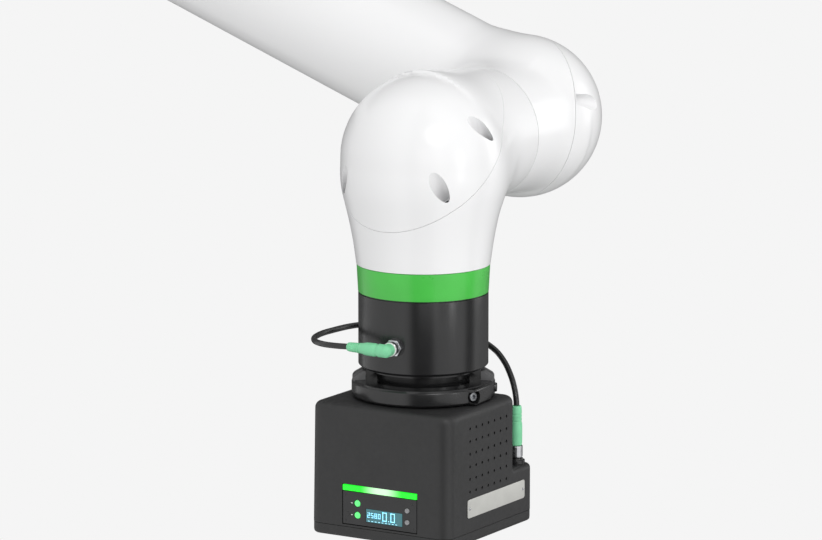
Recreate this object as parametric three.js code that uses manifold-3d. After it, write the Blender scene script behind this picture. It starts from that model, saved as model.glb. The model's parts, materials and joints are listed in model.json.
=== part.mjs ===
// Six-axis collaborative robot arm that carries an electric vacuum gripper.
// Millimetres, +Z up. The origin is the centre of the base's underside, on the axis of
// joint 1, and the arm reaches out along +X with its wrist above the work.
import * as THREE from 'three';
import { mergeVertices } from 'three/addons/utils/BufferGeometryUtils.js';
import Module from 'manifold-3d';

const wasm = await Module();
wasm.setup();

// ---------------------------------------------------------------- driving dimensions
const SHOULDER_HEIGHT = 245; // base underside to the axis of joint 2
const UPPER_ARM = 710; // joint 2 to joint 3
const FOREARM = 540; // joint 3 to joint 5
const SIDE_OFFSET = 150; // forearm plane to the plane of the upper arm
const WRIST_OFFSET = 140; // forearm plane to the plane of the wrist
const FLANGE_DROP = 160; // joint 5 to the face of the tool flange
const UPPER_ARM_RISE = THREE.MathUtils.degToRad(50); // at rest, above the horizontal
const FOREARM_DIP = THREE.MathUtils.degToRad(21); // at rest, below the horizontal
const GAP = 0.3; // between pieces that touch
const RUNNING_GAP = 0.6; // between bodies that turn against each other
const ROUND = 24; // sides of a large round
const INSIDE_ROUND = 12; // sides of a hidden hollow
const SMALL_ROUND = 12; // sides of a small round
const BORE_ROUND = 8; // sides of a screw hole

const ELBOW_X = UPPER_ARM * Math.cos(UPPER_ARM_RISE);
const ELBOW_Z = SHOULDER_HEIGHT + UPPER_ARM * Math.sin(UPPER_ARM_RISE);
const WRIST_X = ELBOW_X + FOREARM * Math.cos(FOREARM_DIP);
const WRIST_Z = ELBOW_Z - FOREARM * Math.sin(FOREARM_DIP);

const X = new THREE.Vector3(1, 0, 0);
const Y = new THREE.Vector3(0, 1, 0);
const Z = new THREE.Vector3(0, 0, 1);
const reverse = (v) => v.clone().negate();
const direction = (x, y, z) => new THREE.Vector3(x, y, z).normalize();

// ---------------------------------------------------------------- materials
const finish = (color, roughness, metalness = 0) =>
  new THREE.MeshStandardMaterial({ color, roughness, metalness });
const white = finish(0xf0f0f1, 0.3);
const green = finish(0x4bbe4b, 0.35);
const black = finish(0x2f2f30, 0.4);
const charcoal = finish(0x3c3c3d, 0.6);
const bright = finish(0xc9ccd0, 0.25, 1);
const steel = finish(0x9a9da2, 0.35, 1);
const copper = finish(0xb0703c, 0.4, 1);
const mint = finish(0x6ec391, 0.45);
const screen = finish(0x1d4a5c, 0.1);
const lamp = finish(0x20e020, 0.3);
const plate = finish(0xc8c8be, 0.5);
const board = finish(0x1f6b3a, 0.5);
const rubber = finish(0x5a7f9c, 0.7);

// ---------------------------------------------------------------- solid tools
// A closed geometry as a solid: shared corners merged, folded faces dropped, outside out.
function solid(geometry) {
  const bare = geometry.clone();
  bare.deleteAttribute('normal');
  bare.deleteAttribute('uv');
  const merged = mergeVertices(bare, 1e-4);
  const at = merged.attributes.position.array;
  const faces = [];
  let volume = 0;
  for (let i = 0; i < merged.index.count; i += 3) {
    const [a, b, c] = [0, 1, 2].map((k) => merged.index.array[i + k]);
    if (a === b || b === c || c === a) continue;
    faces.push(a, b, c);
    const [p, q, r] = [a, b, c].map((n) => new THREE.Vector3().fromArray(at, 3 * n));
    volume += p.dot(q.cross(r));
  }
  if (volume < 0) faces.reverse();
  return new wasm.Manifold(new wasm.Mesh({
    numProp: 3,
    vertProperties: new Float32Array(at),
    triVerts: new Uint32Array(faces),
  }));
}

function geometryOf(body) {
  const mesh = body.getMesh();
  const geometry = new THREE.BufferGeometry();
  geometry.setAttribute('position', new THREE.BufferAttribute(mesh.vertProperties, 3));
  geometry.setIndex(new THREE.BufferAttribute(mesh.triVerts, 1));
  geometry.computeVertexNormals();
  return geometry;
}

// Turns a geometry built along +Z so that it points along an axis from a place.
function aim(geometry, axis, at = [0, 0, 0]) {
  const turn = new THREE.Quaternion().setFromUnitVectors(Z, axis);
  return geometry.applyQuaternion(turn).translate(...at);
}

// A solid of revolution about +Z from [radius, height] points that start and end on the
// axis, or that close on themselves.
function turned(points, sides = ROUND) {
  const profile = points.map(([r, h]) => new THREE.Vector2(r, h));
  return new THREE.LatheGeometry(profile, sides).rotateX(Math.PI / 2);
}

const disc = (radius, length, sides = ROUND) =>
  turned([[0, 0], [radius, 0], [radius, length], [0, length]], sides);
const ring = (outer, inner, length, sides = ROUND) =>
  turned([[inner, 0], [outer, 0], [outer, length], [inner, length], [inner, 0]], sides);
const block = (low, high) =>
  new THREE.BoxGeometry(...high.map((v, i) => v - low[i])).translate(
    ...high.map((v, i) => (v + low[i]) / 2));

function roundedOutline(low, high, radius) {
  const [x0, y0, x1, y1] = [...low, ...high];
  const shape = new THREE.Shape();
  const corners = [[x1, y0, -90], [x1, y1, 0], [x0, y1, 90], [x0, y0, 180]];
  for (const [x, y, start] of corners) {
    const cx = x + (x === x1 ? -radius : radius);
    const cy = y + (y === y1 ? -radius : radius);
    const from = THREE.MathUtils.degToRad(start);
    shape.absarc(cx, cy, radius, from, from + Math.PI / 2, false);
  }
  return shape;
}

// A plate with round upright corners, from height z0 to z1, with an optional soft top edge.
function roundedBlock(low, high, radius, z0, z1, soften = 0) {
  const outline = roundedOutline(
    low.map((v) => v + soften), high.map((v) => v - soften), radius - soften);
  const options = { depth: z1 - z0 - 2 * soften, curveSegments: 4 };
  options.bevelEnabled = soften > 0;
  Object.assign(options, { bevelThickness: soften, bevelSize: soften, bevelSegments: 2 });
  return new THREE.ExtrudeGeometry(outline, options).translate(0, 0, z0 + soften);
}

// The half of space on the far side of a plane, as a large block.
const HALF = 400;
const beyond = (normal, distance) =>
  solid(aim(block([-HALF, -HALF, 0], [HALF, HALF, HALF]), normal,
    normal.clone().multiplyScalar(distance).toArray()));

function meshOf(name, body, material) {
  const geometry = body instanceof THREE.BufferGeometry ? geometryOf(solid(body)) : geometryOf(body);
  const mesh = new THREE.Mesh(geometry, material);
  mesh.name = name;
  return mesh;
}

const add = (group, name, body, material) => group.add(meshOf(name, body, material));

// ---------------------------------------------------------------- joint housings
// Every joint housing is a ball with two hollow arms at right angles: the neck and the
// stub. Its outer corner is a separate cap, held by four screws in deep pockets.
function armAlong(axis, profile, inset) {
  const end = profile[profile.length - 1];
  const points = [[0, 0], ...profile.map(([d, r]) => [r - inset, d])];
  if (inset > 0) points.push([end[1] - inset, end[0] + 1], [0, end[0] + 1]);
  else points.push([0, end[0]]);
  return solid(aim(turned(points, inset > 0 ? INSIDE_ROUND : ROUND), axis));
}

function elbowSolid({ ball, shift = 0, neck, stub }, inset) {
  const sides = inset > 0 ? [10, 5] : [16, 8];
  const sphere = new THREE.SphereGeometry(ball - inset, ...sides).rotateX(Math.PI / 2)
    .translate(...neck.axis.clone().multiplyScalar(shift).toArray());
  return solid(sphere).add(armAlong(neck.axis, neck.profile, inset))
    .add(armAlong(stub.axis, stub.profile, inset));
}

const POCKET_RADIUS = 4.4;
const POCKET_FLOOR = 4; // above the cap's joint face
const POCKET_ANGLES = [-130.5, -49.5, 3.7, 176.3]; // about the cap's normal, in degrees

// A screw pocket, bored along the cap's normal into the thickness of its wall.
function pocket({ cap, ball, neck, stub }, angle) {
  const side = new THREE.Vector3().crossVectors(neck.axis, stub.axis).normalize();
  const up = new THREE.Vector3().crossVectors(cap.normal, side).normalize();
  const turn = THREE.MathUtils.degToRad(angle);
  const out = ball + 0.6;
  const at = side.clone().multiplyScalar(out * Math.cos(turn))
    .addScaledVector(up, out * Math.sin(turn))
    .addScaledVector(cap.normal, cap.distance + POCKET_FLOOR);
  return solid(aim(disc(POCKET_RADIUS, 2 * ball, BORE_ROUND), cap.normal, at.toArray()));
}

function addHousing(group, housingName, capName, spec) {
  const shell = elbowSolid(spec, 0).subtract(elbowSolid(spec, spec.wall));
  const { normal, distance } = spec.cap;
  add(group, housingName, shell.subtract(beyond(normal, distance - GAP / 2)), white);
  let cap = shell.intersect(beyond(normal, distance + GAP / 2));
  for (const angle of spec.pockets ?? []) cap = cap.subtract(pocket(spec, angle));
  add(group, capName, cap, white);
}

// A hollow-shaft motor and the strain-wave gear set in front of it, on one axis.
function addDrive(group, prefix, axis, start, motor, gear) {
  const motorAt = start.clone();
  const gearAt = start.clone().addScaledVector(axis, motor.length + 1);
  add(group, `${prefix}_motor`,
    aim(ring(motor.radius, 7, motor.length, SMALL_ROUND), axis, motorAt.toArray()), copper);
  add(group, `${prefix}_gear_unit`,
    aim(ring(gear.radius, 9, gear.length, INSIDE_ROUND), axis, gearAt.toArray()), steel);
}

// ---------------------------------------------------------------- base
const BASE_TOP = 119;
const BASE_RADIUS = 80;
const FOOT = 86; // half the side of the square foot
const FOOT_THICK = 14;
const BOLT = { place: 70, radius: 4.5 };

function base() {
  const group = new THREE.Group();
  const foot = roundedBlock([-FOOT, -FOOT], [FOOT, FOOT], 22, 0, FOOT_THICK);
  const drum = turned([[0, 4], [BASE_RADIUS + 4, 4], [BASE_RADIUS + 4, FOOT_THICK],
    [BASE_RADIUS, 28], [BASE_RADIUS, BASE_TOP], [0, BASE_TOP]]);
  const bay = roundedBlock([-108, -46], [-40, 46], 6, 2, 98);
  let casting = solid(foot).add(solid(drum)).add(solid(bay));
  casting = casting.subtract(solid(disc(BASE_RADIUS - 8, BASE_TOP).translate(0, 0, FOOT_THICK)));
  casting = casting.subtract(solid(block([-120, -40, 20], [-50, 40, 92])));
  for (const [sx, sy] of [[1, 1], [1, -1], [-1, 1], [-1, -1]]) {
    const hole = disc(BOLT.radius, 60, BORE_ROUND);
    casting = casting.subtract(solid(hole.translate(sx * BOLT.place, sy * BOLT.place, -10)));
    const seat = disc(BOLT.radius + 6, 60, BORE_ROUND);
    casting = casting.subtract(
      solid(seat.translate(sx * BOLT.place, sy * BOLT.place, FOOT_THICK - 2)));
  }
  add(group, 'base_casting', casting, white);

  add(group, 'connector_panel', block([-106, -40 + GAP, 20 + GAP], [-103, 40 - GAP, 92 - GAP]),
    charcoal);
  const panelFace = -106 - GAP;
  const socket = (radius, y, z) =>
    aim(turned([[radius - 3, 0], [radius, 0], [radius, 12], [radius - 2.5, 12],
      [radius - 2.5, 3], [0, 3], [0, 0], [radius - 3, 0]], SMALL_ROUND), reverse(X),
    [panelFace, y, z]);
  add(group, 'power_inlet', socket(15, -19, 58), black);
  add(group, 'signal_connector', socket(12, 16, 62), black);
  add(group, 'earth_stud', aim(disc(3, 14, 12), reverse(X), [panelFace, 20, 34]), bright);
  addDrive(group, 'j1', Z, new THREE.Vector3(0, 0, FOOT_THICK + 1),
    { radius: 44, length: 42 }, { radius: 66, length: 44 });
  return group;
}

// ---------------------------------------------------------------- turret, joint 1
const TURRET_STUB = 81.7;

function turret() {
  const group = new THREE.Group();
  group.position.set(0, 0, SHOULDER_HEIGHT);
  const down = SHOULDER_HEIGHT - BASE_TOP - RUNNING_GAP;
  addHousing(group, 'turret_housing', 'turret_cap', {
    ball: 79,
    wall: 7,
    neck: { axis: reverse(Z), profile: [[0, 79], [down, 79]] },
    stub: { axis: reverse(Y), profile: [[0, 79], [TURRET_STUB, 77]] },
    cap: { normal: direction(0, 1, 1), distance: -4 },
  });
  addDrive(group, 'j2', reverse(Y), new THREE.Vector3(0, 40, 0),
    { radius: 46, length: 56 }, { radius: 64, length: 58 });
  return group;
}

// ---------------------------------------------------------------- upper arm, joint 2
const SHOULDER_NECK = 110;
const UPPER_NECK = 95;

function upperArm() {
  const group = new THREE.Group();
  group.position.set(0, -SIDE_OFFSET, SHOULDER_HEIGHT);
  group.rotation.y = -UPPER_ARM_RISE;
  addHousing(group, 'shoulder_housing', 'shoulder_cap', {
    ball: 66,
    wall: 6,
    neck: { axis: X, profile: [[0, 66], [60, 64], [SHOULDER_NECK, 60]] },
    stub: { axis: Y,
      profile: [[0, 66], [36, 69], [SIDE_OFFSET - TURRET_STUB - RUNNING_GAP, 77]] },
    cap: { normal: direction(-1, -1, 0), distance: -5 },
  });
  const tubeEnd = UPPER_ARM - UPPER_NECK;
  const tube = turned([[55, SHOULDER_NECK + GAP], [60, SHOULDER_NECK + GAP], [52, tubeEnd - GAP],
    [47, tubeEnd - GAP], [55, SHOULDER_NECK + GAP]]);
  add(group, 'upper_arm_tube', aim(tube, X), white);

  const top = new THREE.Group();
  top.position.set(UPPER_ARM, 0, 0);
  group.add(top);
  addHousing(top, 'upper_elbow_housing', 'upper_elbow_cap', {
    ball: 64,
    wall: 5,
    neck: { axis: reverse(X), profile: [[0, 64], [50, 58], [UPPER_NECK, 52]] },
    stub: { axis: Y, profile: [[0, 63], [66, 62]] },
    cap: { normal: direction(1, -1, 0), distance: -5 },
  });
  addDrive(top, 'j3', Y, new THREE.Vector3(0, -32, 0),
    { radius: 36, length: 46 }, { radius: 52, length: 46 });
  return group;
}

// ---------------------------------------------------------------- elbow, joint 3
const ELBOW_NECK = 92;

function elbow() {
  const group = new THREE.Group();
  group.position.set(ELBOW_X, 0, ELBOW_Z);
  group.rotation.y = FOREARM_DIP;
  addHousing(group, 'elbow_housing', 'elbow_cap', {
    ball: 64,
    wall: 5,
    neck: { axis: X, profile: [[0, 64], [50, 57], [ELBOW_NECK, 50]] },
    stub: { axis: reverse(Y), profile: [[0, 63], [SIDE_OFFSET - 66 - RUNNING_GAP, 62]] },
    cap: { normal: direction(-1, 1, 0), distance: -5 },
  });
  addDrive(group, 'j4', X, new THREE.Vector3(-24, 0, 0),
    { radius: 30, length: 50 }, { radius: 42, length: 58 });
  return group;
}

// ---------------------------------------------------------------- forearm, joint 4
const TUBE_END = FOREARM - 69.4;
const WRIST_SEAM = 77; // from the axis of joint 6 to the seam of joint 5

function forearm() {
  const group = new THREE.Group();
  group.position.set(ELBOW_X, 0, ELBOW_Z);
  group.rotation.y = FOREARM_DIP;
  const start = ELBOW_NECK + RUNNING_GAP;
  const tube = turned([[45, start], [50, start], [46.5, start + 40], [46.5, TUBE_END - GAP],
    [41.5, TUBE_END - GAP], [41.5, start + 40], [45, start]]);
  add(group, 'forearm_tube', aim(tube, X), white);

  const knuckle = new THREE.Group();
  knuckle.position.set(FOREARM, 0, 0);
  group.add(knuckle);
  const lean = THREE.MathUtils.degToRad(28);
  addHousing(knuckle, 'forearm_knuckle', 'knuckle_cap', {
    ball: 57,
    shift: 7,
    wall: 5,
    neck: { axis: reverse(X), profile: [[0, 55], [35, 51], [FOREARM - TUBE_END, 46.5]] },
    stub: { axis: reverse(Y),
      profile: [[0, 51], [30, 47], [WRIST_OFFSET - WRIST_SEAM - RUNNING_GAP / 2, 45]] },
    cap: { normal: direction(Math.sin(lean), Math.cos(lean), 0), distance: 4 },
    pockets: POCKET_ANGLES,
  });
  addDrive(knuckle, 'j5', reverse(Y), new THREE.Vector3(0, 14, 0),
    { radius: 26, length: 36 }, { radius: 36, length: 40 });
  return group;
}

// ---------------------------------------------------------------- wrist, joint 5
const NECK_END = 79;
const RING_END = 98.2;

function wrist() {
  const group = new THREE.Group();
  group.position.set(WRIST_X, -WRIST_OFFSET, WRIST_Z);
  const lean = THREE.MathUtils.degToRad(49);
  addHousing(group, 'wrist_housing', 'wrist_cap', {
    ball: 56,
    shift: 6.5,
    wall: 5,
    neck: { axis: reverse(Z),
      profile: [[0, 55.5], [28, 55.4], [46, 51.2], [61, 48.1], [NECK_END, 45.5]] },
    stub: { axis: Y, profile: [[0, 52], [40, 47.5], [WRIST_SEAM - RUNNING_GAP / 2, 45]] },
    cap: { normal: direction(0, -Math.cos(lean), Math.sin(lean)), distance: -5.5 },
    pockets: POCKET_ANGLES,
  });
  const ringTop = NECK_END + GAP;
  const band = turned([[38, ringTop], [45.3, ringTop], [44.3, RING_END], [38, RING_END],
    [38, ringTop]]);
  add(group, 'accent_ring', aim(band, reverse(Z)), green);
  addDrive(group, 'j6', reverse(Z), new THREE.Vector3(0, 0, 10),
    { radius: 25, length: 44 }, { radius: 36, length: 56 });
  return group;
}

// ---------------------------------------------------------------- flange and gripper, joint 6
const COLLAR = { top: RING_END + RUNNING_GAP, bottom: 149.5, radius: 44.2 };
const SOCKET = { angle: 6.4, z: -129.6 }; // turned from -Y towards +X
const ADAPTER = { rim: 158.3, floor: 160.3, bottom: 169.6, radius: 48.8 };
const BOX = { x: 54.5, front: -57.5, back: 33.7, ledgeBack: 57.6, top: -170.4, ledge: -222,
  joint: -254, bottom: -261.9, corner: 9 };
const CABLE_DIAMETER = 4;
const PLUG = { x: 45.5, y: 47.6, top: -181.7 };

const socketOut = direction(Math.sin(THREE.MathUtils.degToRad(SOCKET.angle)),
  -Math.cos(THREE.MathUtils.degToRad(SOCKET.angle)), 0);
const socketPoint = (out) =>
  socketOut.clone().multiplyScalar(COLLAR.radius + out).setZ(SOCKET.z);

function collarAndFlange(group) {
  const { top, bottom, radius } = COLLAR;
  const collar = solid(aim(turned([[38, top], [radius, top], [radius, bottom - 4],
    [radius - 3.5, bottom], [20, bottom], [20, bottom - 5], [38, bottom - 5], [38, top]]),
  reverse(Z)));
  const bore = solid(aim(disc(4.6, 12, SMALL_ROUND), socketOut, socketPoint(-8).toArray()));
  add(group, 'flange_collar', collar.subtract(bore), black);

  let flange = solid(aim(ring(31.5, 10, FLANGE_DROP - bottom - GAP), reverse(Z),
    [0, 0, -bottom - GAP]));
  for (let i = 0; i < 4; i += 1) {
    const turn = THREE.MathUtils.degToRad(45 + 90 * i);
    const at = [25 * Math.cos(turn), 25 * Math.sin(turn), -FLANGE_DROP - 5];
    flange = flange.subtract(solid(disc(2.5, 30, BORE_ROUND).translate(...at)));
  }
  add(group, 'tool_flange', flange, bright);
}

function collarPlug(group) {
  const socket = turned([[2, 0], [4.3, 0], [4.3, 7.8], [6.2, 7.8], [6.2, 9.6], [2, 9.6], [2, 0]],
    SMALL_ROUND);
  add(group, 'collar_socket', aim(socket, socketOut, socketPoint(-7.6).toArray()), bright);
  add(group, 'elbow_plug_nut',
    aim(ring(5.4, 2.4, 6.4, 6), socketOut, socketPoint(2.3).toArray()), bright);
  const bend = socketPoint(15);
  let plug = solid(aim(disc(4.2, 6.2, SMALL_ROUND), socketOut, socketPoint(9).toArray()));
  plug = plug.add(solid(new THREE.SphereGeometry(4.4, 12, 8).translate(...bend.toArray())));
  const sleeve = turned([[0, 0], [4.3, 0], [4, 16], [3.2, 24], [3.2, 30], [0, 30]], SMALL_ROUND);
  plug = plug.add(solid(aim(sleeve, reverse(X), bend.toArray())));
  add(group, 'elbow_plug', plug, mint);
}

// The lead from the collar's socket, round behind the collar and down to the gripper.
const CABLE_START = socketPoint(15).add(new THREE.Vector3(-30 - GAP, 0, 0)).toArray();
const CABLE_ROUTE = [
  CABLE_START,
  [-34, -59.8, -129.8],
  [-47, -55.8, -130.4],
  [-58.5, -46, -130.9],
  [-65.8, -30, -131.1],
  [-66.4, -8, -131.1],
  [-62.5, 15, -131.3],
  [-52.5, 36, -132.2],
  [-36, 51.5, -134],
  [-14, 60, -137.4],
  [5, 61.6, -141.4],
  [19, 60.4, -146.6],
  [28.5, 57.6, -152.8],
  [36.5, 54, -161.4],
  [42.2, 50.4, -170.5],
  [45, 48, -177.4],
  [PLUG.x, PLUG.y, PLUG.top + GAP],
];
const CABLE_STEPS = 32;

function jumperCable(group) {
  const points = CABLE_ROUTE.map((p) => new THREE.Vector3(...p));
  const path = new THREE.CatmullRomCurve3(points, false, 'centripetal');
  const section = new THREE.Shape();
  for (let i = 0; i < 8; i += 1) {
    const turn = (i * Math.PI) / 4;
    const at = [Math.cos(turn), Math.sin(turn)].map((v) => (v * CABLE_DIAMETER) / 2);
    if (i === 0) section.moveTo(...at);
    else section.lineTo(...at);
  }
  const tube = new THREE.ExtrudeGeometry(section, { steps: CABLE_STEPS, extrudePath: path });
  add(group, 'jumper_cable', tube, black);

  const straight = turned([[0, 0], [3.4, 0], [3.9, 9], [4, 27.4], [0, 27.4]], SMALL_ROUND);
  add(group, 'straight_plug', aim(straight, reverse(Z), [PLUG.x, PLUG.y, PLUG.top]), mint);
  const nutTop = PLUG.top - 27.4 - GAP;
  add(group, 'straight_plug_nut',
    aim(ring(4.3, 2, 8.4, SMALL_ROUND), reverse(Z), [PLUG.x, PLUG.y, nutTop]), bright);
  const socketTop = nutTop - 8.4 - GAP;
  add(group, 'gripper_socket',
    aim(disc(5.6, socketTop - BOX.ledge - GAP, SMALL_ROUND), reverse(Z),
      [PLUG.x, PLUG.y, socketTop]), black);
}

function adapter(group) {
  const { rim, floor, bottom, radius } = ADAPTER;
  let body = solid(aim(turned([[0, floor], [34, floor], [36, rim], [radius - 1, rim],
    [radius, rim + 1], [radius, bottom - 1], [radius - 1, bottom], [0, bottom]]), reverse(Z)));
  for (const side of [30, 210]) {
    const turn = THREE.MathUtils.degToRad(side);
    const lug = block([36.5, -8, -rim - 2], [45.5, 8, -rim + 5.5]).rotateZ(turn);
    body = body.add(solid(lug));
  }
  const jaw = roundedBlock([37, -20], [50.4, 14], 3, -bottom, -rim - 0.5);
  body = body.add(solid(jaw.rotateZ(THREE.MathUtils.degToRad(6))));
  const screwWay = direction(Math.cos(-0.27), Math.sin(-0.27), 0);
  const along = (d) => screwWay.clone().multiplyScalar(d).setZ(-(rim + bottom) / 2 - 0.4);
  body = body.subtract(solid(aim(disc(3.9, 12, SMALL_ROUND), screwWay, along(45).toArray())));
  add(group, 'adapter_plate', body, black);
  const screw = solid(aim(disc(3.2, 5, SMALL_ROUND), screwWay, along(45.3).toArray()));
  const hex = solid(aim(disc(1.5, 4, 6), screwWay, along(47.8).toArray()));
  add(group, 'clamp_screw', screw.subtract(hex), bright);
}

const PANEL = { left: -28.9, right: 30.2, top: -229.3, bottom: -252.4, lamp: -224.9 };
const WALL = 2.6;
const PORT_BORE = 12.6;

function gripperBox(group) {
  const { x, front, back, ledgeBack, top, ledge, joint, bottom, corner } = BOX;
  const main = roundedBlock([-x, front], [x, back], corner, joint - 12, top, 5);
  const lower = roundedBlock([-x, front], [x, ledgeBack], corner, joint - 12, ledge, 3);
  let shell = solid(main).add(solid(lower));
  shell = shell.subtract(solid(block([-100, -100, joint - 40], [100, 100, joint])));
  const inner = roundedBlock([-x + WALL, front + WALL + 3], [x - WALL, back - WALL], 6,
    joint - 20, top - WALL);
  const innerLow = roundedBlock([-x + WALL, front + WALL + 3], [x - WALL, ledgeBack - WALL], 6,
    joint - 20, ledge - WALL);
  shell = shell.subtract(solid(inner)).subtract(solid(innerLow));
  const recess = block([PANEL.left, front - 5, PANEL.bottom], [PANEL.right, front + 3, PANEL.lamp]);
  shell = shell.subtract(solid(recess));
  add(group, 'gripper_shell', shell, charcoal);

  const cover = roundedBlock([-x, front], [x, ledgeBack], corner, bottom, joint - GAP);
  const port = disc(PORT_BORE, 20, SMALL_ROUND).translate(0, 0, bottom - 4);
  add(group, 'bottom_cover', solid(cover).subtract(solid(port)), charcoal);

  const labelFace = x + GAP;
  add(group, 'rating_plate',
    block([labelFace, -32.4, -244], [labelFace + 0.5, 42.9, -231.3]), plate);
}

const BUTTON = { x: 22.6, radius: 1.7, heights: [-237.4, -245.4] };
const LAMP = { x: -17.1, radius: 2.3, heights: [-237.2, -245.4] };
const SCREEN = { left: -10.1, right: 18.4, top: -240, bottom: -249 };

function controlPanel(group) {
  const face = BOX.front;
  let body = solid(block([PANEL.left + GAP, face, PANEL.bottom + GAP],
    [PANEL.right - GAP, face + 2, PANEL.top]));
  const hole = (x, z, radius) =>
    solid(aim(disc(radius, 10, SMALL_ROUND), Y, [x, face - 4, z]));
  for (const z of BUTTON.heights) body = body.subtract(hole(BUTTON.x, z, BUTTON.radius + 0.3));
  for (const z of LAMP.heights) body = body.subtract(hole(LAMP.x, z, LAMP.radius + 0.3));
  const window = block([SCREEN.left - GAP, face - 1, SCREEN.bottom - GAP],
    [SCREEN.right + GAP, face + 1, SCREEN.top + GAP]);
  add(group, 'control_panel', body.subtract(solid(window)), black);
  add(group, 'display', block([SCREEN.left, face + 0.1, SCREEN.bottom],
    [SCREEN.right, face + 0.7, SCREEN.top]), screen);
  add(group, 'status_bar', block([PANEL.left + GAP, face - 0.3, PANEL.top + GAP],
    [PANEL.right - GAP, face + 2, PANEL.lamp - GAP]), lamp);
  ['lamp_upper', 'lamp_lower'].forEach((name, i) => {
    add(group, name, aim(disc(LAMP.radius, 2.2, SMALL_ROUND), Y,
      [LAMP.x, face - 0.3, LAMP.heights[i]]), lamp);
  });
  ['button_upper', 'button_lower'].forEach((name, i) => {
    add(group, name, aim(disc(BUTTON.radius, 2.2, SMALL_ROUND), Y,
      [BUTTON.x, face - 0.8, BUTTON.heights[i]]), steel);
  });
}

function gripperInside(group) {
  add(group, 'pump_body', block([-26, -24, -246], [26, 22, -212]), steel);
  add(group, 'pump_motor', aim(disc(17, 34, SMALL_ROUND), Z, [0, -1, -211.7]), copper);
  add(group, 'control_board', block([-44, -50, -249], [44, -48.4, -180]), board);
  const stem = solid(ring(8, 3, 22, SMALL_ROUND).translate(0, 0, -268));
  const hexagon = solid(ring(11, 3, 10, 6).translate(0, 0, BOX.bottom - 4.3));
  add(group, 'vacuum_port', stem.add(hexagon), bright);
  const lip = -292;
  const cup = turned([[4, -268.3], [9, -268.3], [9, -272], [16, -276], [12, -280], [17, -284],
    [20, lip], [18.4, lip], [15, -284.6], [10.4, -280], [13.4, -276.2], [4, -272.5],
    [4, -268.3]], SMALL_ROUND + 4);
  add(group, 'bellows_cup', cup, rubber);
}

function flangeAndGripper() {
  const group = new THREE.Group();
  group.position.set(WRIST_X, -WRIST_OFFSET, WRIST_Z);
  collarAndFlange(group);
  collarPlug(group);
  jumperCable(group);
  adapter(group);
  gripperBox(group);
  controlPanel(group);
  gripperInside(group);
  return group;
}

const arm = new THREE.Group();
arm.add(base(), turret(), upperArm(), elbow(), forearm(), wrist(), flangeAndGripper());
export default arm;
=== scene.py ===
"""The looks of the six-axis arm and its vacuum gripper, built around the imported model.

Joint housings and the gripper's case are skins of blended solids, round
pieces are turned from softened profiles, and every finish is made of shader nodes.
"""
import json
import math

import bmesh
import bpy
import numpy as np
from mathutils import Matrix, Vector


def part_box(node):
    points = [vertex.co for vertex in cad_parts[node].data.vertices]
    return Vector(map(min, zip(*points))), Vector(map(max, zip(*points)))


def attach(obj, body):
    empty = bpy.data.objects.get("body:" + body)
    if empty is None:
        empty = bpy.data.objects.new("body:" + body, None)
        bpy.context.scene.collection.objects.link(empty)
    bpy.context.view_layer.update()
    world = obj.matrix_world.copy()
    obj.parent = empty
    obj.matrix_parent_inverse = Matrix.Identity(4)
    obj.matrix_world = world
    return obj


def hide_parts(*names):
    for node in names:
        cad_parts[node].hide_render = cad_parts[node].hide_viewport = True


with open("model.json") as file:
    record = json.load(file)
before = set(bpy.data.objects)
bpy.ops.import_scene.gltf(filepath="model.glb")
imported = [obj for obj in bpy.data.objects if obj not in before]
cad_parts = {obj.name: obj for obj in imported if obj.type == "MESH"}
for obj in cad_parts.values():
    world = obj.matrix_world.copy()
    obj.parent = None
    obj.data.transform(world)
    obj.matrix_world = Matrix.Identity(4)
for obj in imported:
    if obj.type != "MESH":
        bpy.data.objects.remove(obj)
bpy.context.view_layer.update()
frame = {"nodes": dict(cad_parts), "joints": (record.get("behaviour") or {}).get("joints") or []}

MM = 0.001
X, Y, Z = Vector((1, 0, 0)), Vector((0, 1, 0)), Vector((0, 0, 1))

# ------------------------------------------------------------------ places in the frame
joint = {j["name"]: j for j in frame["joints"]}


def joint_place(name):
    return Vector(joint[name]["pos_m"])


FOREARM_AXIS = Vector(joint["j4_forearm_roll"]["axis"]).normalized()
WRIST = joint_place("j6_flange").copy()
WRIST.z = joint_place("j5_wrist_bend").z
ELBOW = joint_place("j3_elbow")
ELBOW.y = 0
KNUCKLE = Vector((WRIST.x, 0, WRIST.z))
SIDE = -0.150  # how far the shoulder and the upper arm stand off the middle plane
SHOULDER = Vector((0, SIDE, joint_place("j2_shoulder").z))
TURRET = Vector((0, 0, SHOULDER.z))
UPPER_ELBOW = Vector((ELBOW.x, SIDE, ELBOW.z))
UPPER_AXIS = (UPPER_ELBOW - SHOULDER).normalized()


# ------------------------------------------------------------------ camera
CAMERA_LENS = 219
CAMERA_AZIMUTH = math.radians(31.65)
CAMERA_ELEVATION = math.radians(10.54)
CAMERA_DISTANCE = 3.37
AIM_LEFT, AIM_BELOW = 0.0084, 0.0829  # of the wrist's centre, in the picture


def make_camera():
    a, e = CAMERA_AZIMUTH, CAMERA_ELEVATION
    back = Vector((math.sin(a) * math.cos(e), -math.cos(a) * math.cos(e), math.sin(e)))
    turn = (-back).to_track_quat("-Z", "Y")
    right, up = turn @ X, turn @ Y
    data = bpy.data.cameras.new("camera")
    data.lens = CAMERA_LENS
    data.clip_end = 100
    camera = bpy.data.objects.new("camera", data)
    camera.rotation_mode = "QUATERNION"
    camera.rotation_quaternion = turn
    aim = WRIST - right * AIM_LEFT - up * AIM_BELOW
    camera.location = aim + back * CAMERA_DISTANCE
    bpy.context.scene.collection.objects.link(camera)
    bpy.context.scene.camera = camera


make_camera()


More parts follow.
